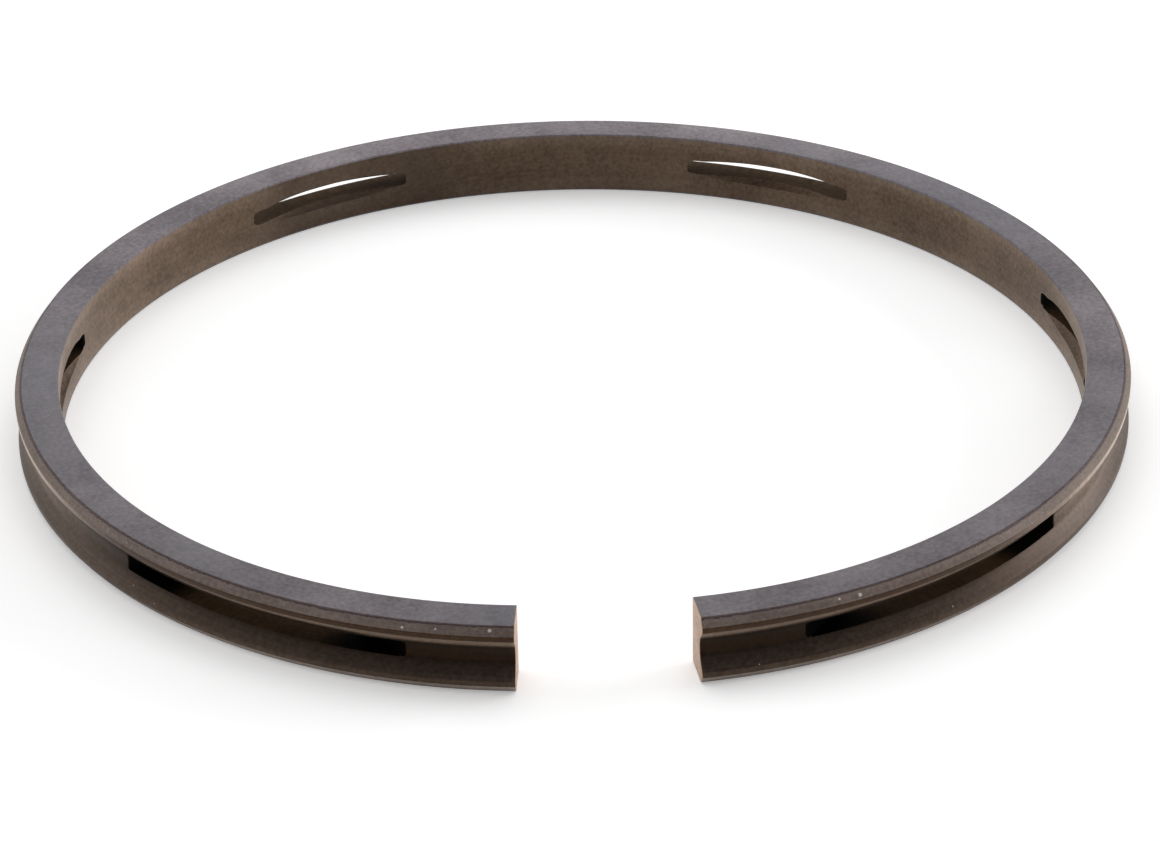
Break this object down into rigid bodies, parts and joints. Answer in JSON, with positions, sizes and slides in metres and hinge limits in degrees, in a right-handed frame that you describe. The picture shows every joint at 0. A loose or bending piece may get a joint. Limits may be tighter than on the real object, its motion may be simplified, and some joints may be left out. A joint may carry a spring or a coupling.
{
  "type": "oil control piston ring",
  "caption": "Slotted oil control piston ring of cast iron, sprung open at its end gap, with narrow bevelled lands beside an oil groove that drains through milled slots.",
  "frame": {"origin": "middle of the free ring's outline, on its lower side face", "axes": "+Z along the ring's axis, +Y towards the back of the ring, opposite the gap, and +X across its greatest width"},
  "size_m": [0.0814, 0.0792, 0.005],
  "materials": {
    "ring_iron": "fine-turned and phosphated, satin dark grey"
  },
  "bodies": {
    "root": {"oil_ring": "ring_iron"}
  },
  "joints": []
}
